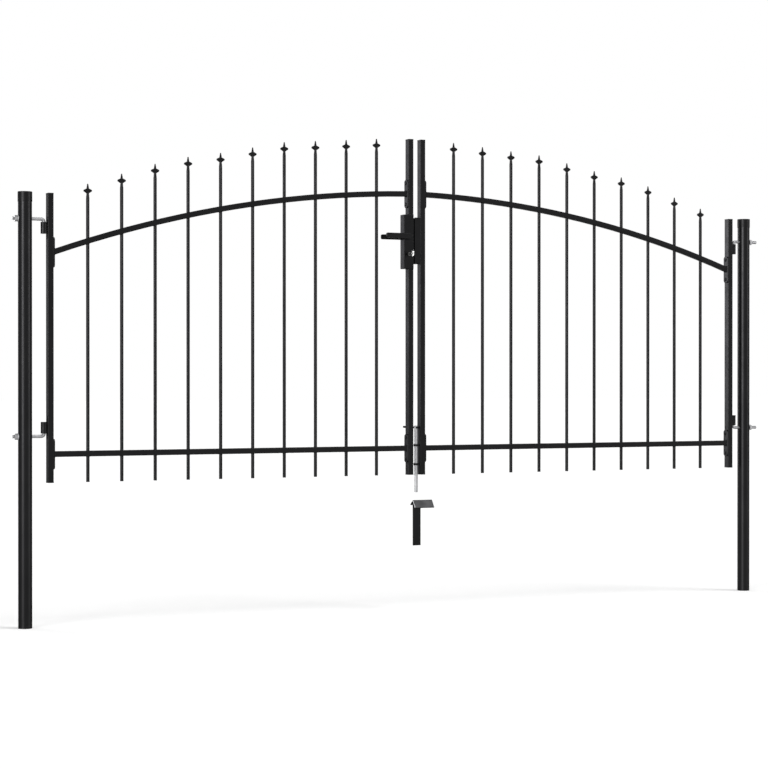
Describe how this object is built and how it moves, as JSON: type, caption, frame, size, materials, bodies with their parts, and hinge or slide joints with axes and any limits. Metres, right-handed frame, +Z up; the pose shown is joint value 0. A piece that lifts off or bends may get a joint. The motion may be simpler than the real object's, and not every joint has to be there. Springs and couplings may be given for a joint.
{
  "type": "steel double driveway gate",
  "caption": "Arched double-leaf driveway gate of black coated steel tube: spear-topped round pickets, bolt hinges on round posts, lever lock, drop bolt and ground stop.",
  "frame": {"origin": "the middle of the left post's flat foot, seen from the front", "axes": "+X along the gate to the right post, +Y to the back, away from the front, +Z up"},
  "size_m": [3.057, 0.173, 1.75],
  "materials": {
    "black_coat": "satin black powder coat",
    "zinc": "zinc plated",
    "black_plastic": "moulded black plastic",
    "nickel": "nickel plated"
  },
  "bodies": {
    "posts": {"left_post": "black_coat", "right_post": "black_coat", "left_post_cap": "black_plastic", "right_post_cap": "black_plastic", "left_upper_hinge_bolt": "zinc", "left_lower_hinge_bolt": "zinc", "right_upper_hinge_bolt": "zinc", "right_lower_hinge_bolt": "zinc", "left_hinge_nuts": "zinc", "right_hinge_nuts": "zinc", "ground_stop_stake": "black_coat", "ground_stop_roof": "black_coat"},
    "left_leaf": {"left_hinge_stile": "black_coat", "left_meeting_stile": "black_coat", "left_stile_caps": "black_plastic", "left_top_rail": "black_coat", "left_bottom_rail": "black_coat", "left_pickets": "black_coat", "left_spear_tips": "black_coat", "left_rail_plates": "black_coat", "left_hinge_barrels": "black_coat", "lock_case": "black_coat"},
    "right_leaf": {"right_hinge_stile": "black_coat", "right_meeting_stile": "black_coat", "right_stile_caps": "black_plastic", "right_top_rail": "black_coat", "right_bottom_rail": "black_coat", "right_pickets": "black_coat", "right_spear_tips": "black_coat", "right_rail_plates": "black_coat", "right_hinge_barrels": "black_coat", "lock_keep": "black_coat", "upper_bolt_guide": "black_coat", "lower_bolt_guide": "black_coat"},
    "lock_handle": {"front_lever": "black_plastic", "back_lever": "black_plastic", "lever_spindle": "zinc"},
    "lock_barrel": {"lock_cylinder": "nickel", "key": "nickel"},
    "drop_bolt": {"drop_bolt_rod": "zinc", "drop_bolt_handle": "black_coat"}
  },
  "joints": [
    {"name": "left_leaf_swing", "type": "hinge", "parent": "posts", "child": "left_leaf", "pos_m": [0.066, 0, 1], "axis": [0, 0, 1], "range_deg": [0, 90]},
    {"name": "right_leaf_swing", "type": "hinge", "parent": "posts", "child": "right_leaf", "pos_m": [2.901, 0, 1], "axis": [0, 0, -1], "range_deg": [0, 90]},
    {"name": "lever_press", "type": "hinge", "parent": "left_leaf", "child": "lock_handle", "pos_m": [1.449, 0, 1.387], "axis": [0, -1, 0], "range_deg": [0, 40], "stiffness_Nm_per_rad": 1.2, "springref_deg": -28.65},
    {"name": "key_turn", "type": "hinge", "parent": "left_leaf", "child": "lock_barrel", "pos_m": [1.449, 0, 1.321], "axis": [0, 1, 0], "range_deg": [0, 360]},
    {"name": "drop_bolt_slide", "type": "slide", "parent": "right_leaf", "child": "drop_bolt", "axis": [0, 0, 1], "range_m": [-0.055, 0.09]}
  ]
}
